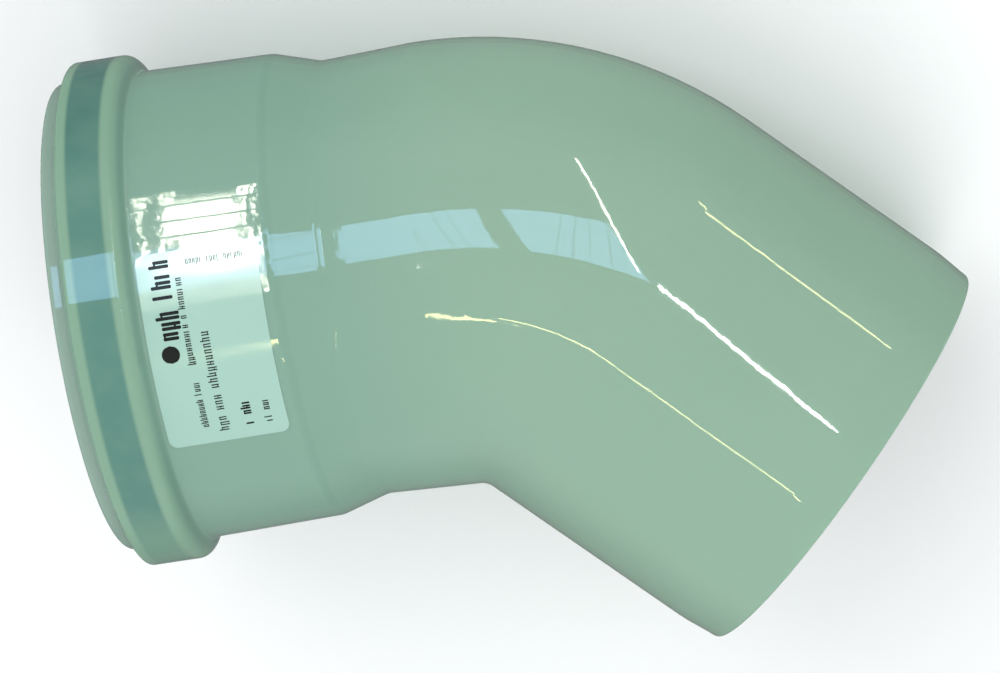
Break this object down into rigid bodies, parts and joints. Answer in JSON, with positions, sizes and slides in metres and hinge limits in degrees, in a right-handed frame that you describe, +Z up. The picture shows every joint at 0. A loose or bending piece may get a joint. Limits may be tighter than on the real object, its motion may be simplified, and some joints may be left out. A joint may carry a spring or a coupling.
{
  "type": "flue elbow",
  "caption": "Plastic flue elbow that turns a pipe run by half a right angle, with a push-fit socket and lip seal at one end, a plain spigot at the other and a label.",
  "frame": {"origin": "middle of the bounding box's base, on the surface that the elbow lies on", "axes": "+X along the spigot's axis, out of the spigot; +Z up; the socket opens towards -X and -Y, tilted a few degrees up, because the elbow lies on the spigot and on the socket's bead"},
  "size_m": [0.307, 0.2548, 0.1841],
  "materials": {
    "body_plastic": "glossy translucent grey-green polypropylene",
    "seal_rubber": "matt dark EPDM rubber",
    "label_film": "pale printed film, slightly glossy"
  },
  "bodies": {
    "root": {"elbow_body": "body_plastic", "lip_seal": "seal_rubber", "product_label": "label_film"}
  },
  "joints": []
}
